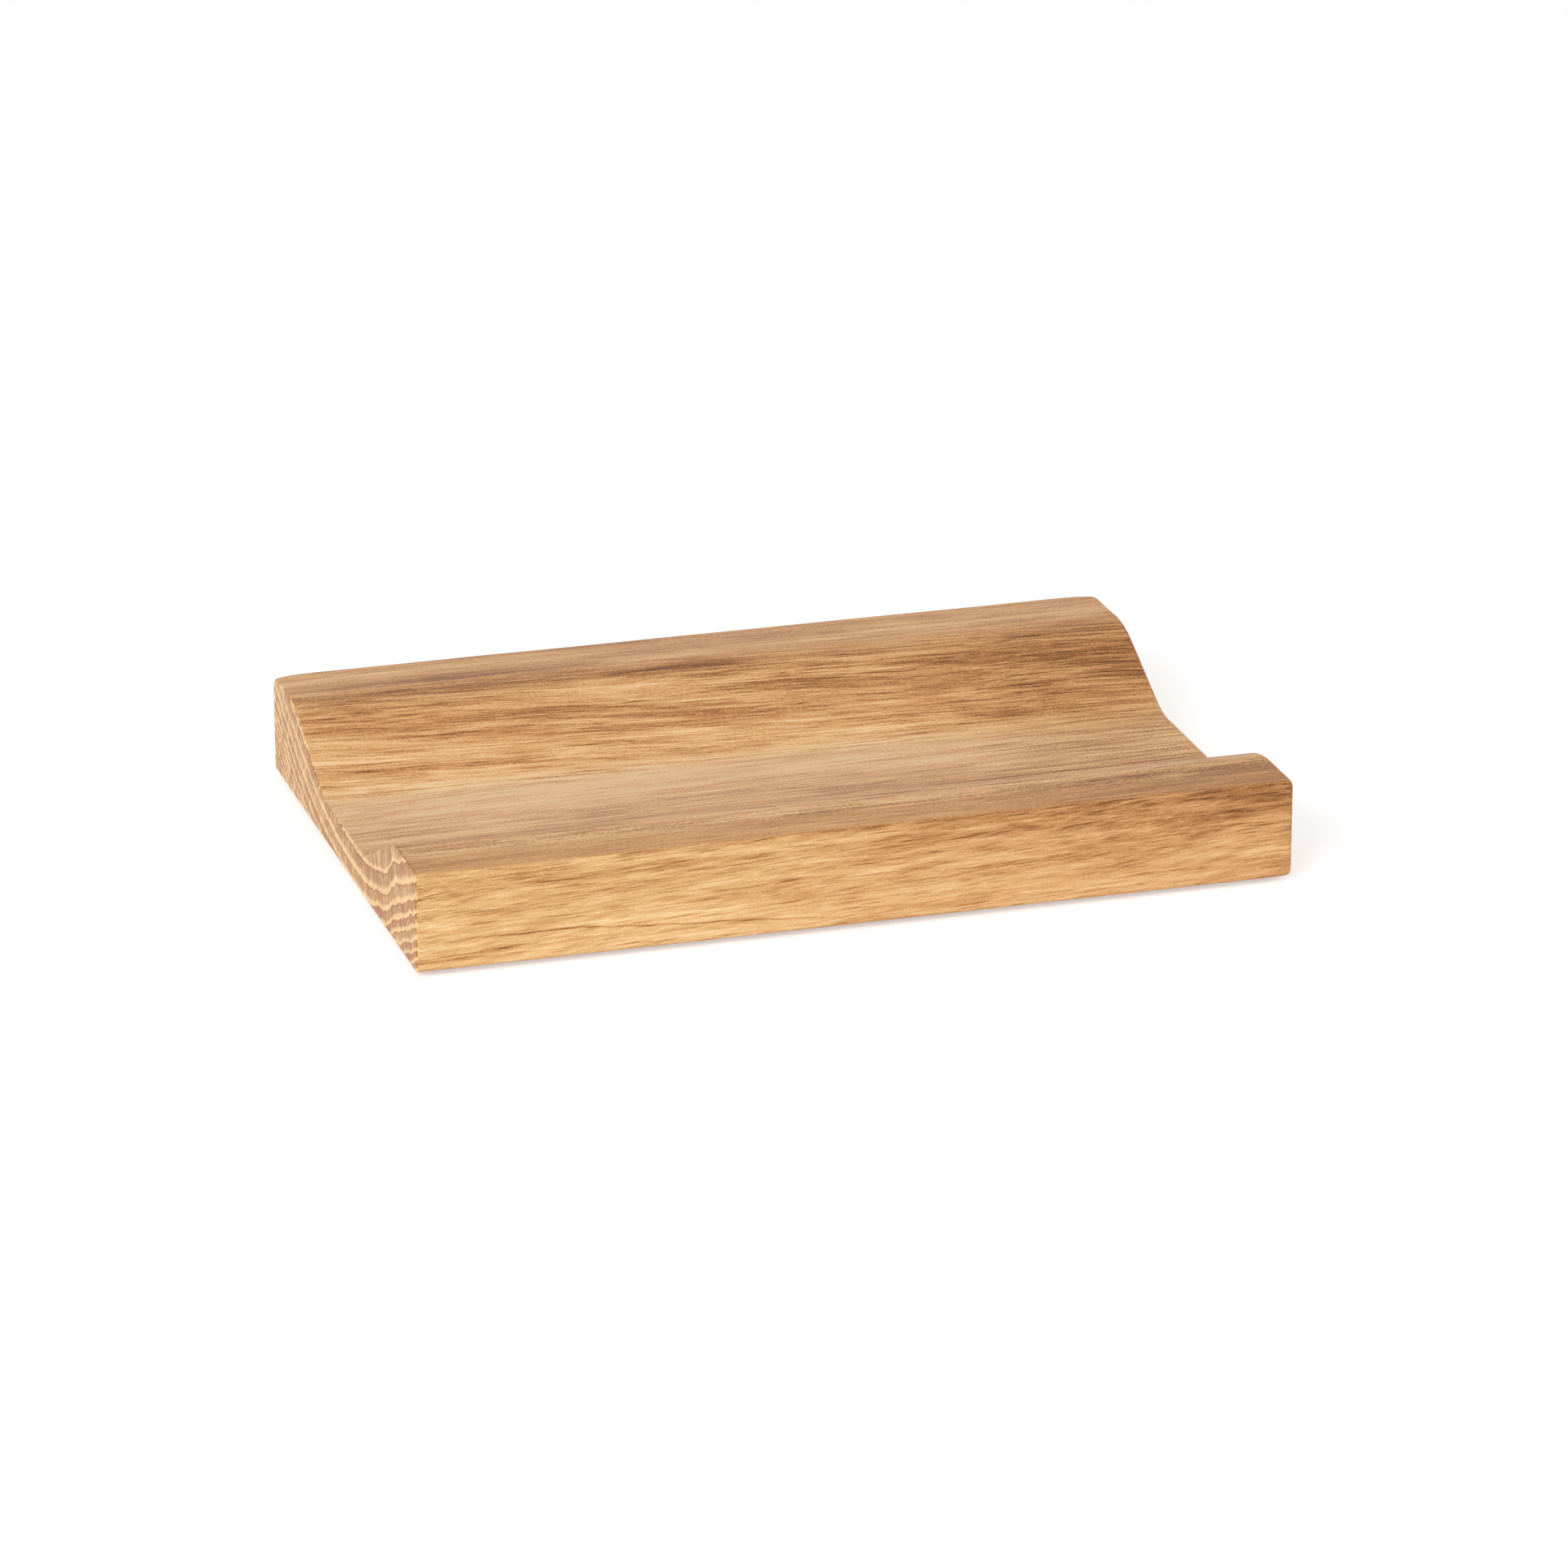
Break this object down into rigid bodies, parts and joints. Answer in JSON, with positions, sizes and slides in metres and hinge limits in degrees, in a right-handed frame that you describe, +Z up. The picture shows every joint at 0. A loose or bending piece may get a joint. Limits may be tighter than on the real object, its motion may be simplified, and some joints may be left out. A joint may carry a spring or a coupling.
{
  "type": "serving board",
  "caption": "Thick solid oak serving board with a wide shallow trough along its length, open at both ends, between flat rims, on low push-in feet.",
  "frame": {"origin": "under the middle of the board, on the surface that its feet stand on", "axes": "+X along the trough and the grain, +Y from the front rim to the back rim, +Z up"},
  "size_m": [0.3, 0.2, 0.036],
  "materials": {
    "oak": "oiled, satin",
    "silicone": "matte, moulded"
  },
  "bodies": {
    "root": {"oak_board": "oak", "foot_front_left": "silicone", "foot_front_right": "silicone", "foot_rear_left": "silicone", "foot_rear_right": "silicone"}
  },
  "joints": []
}
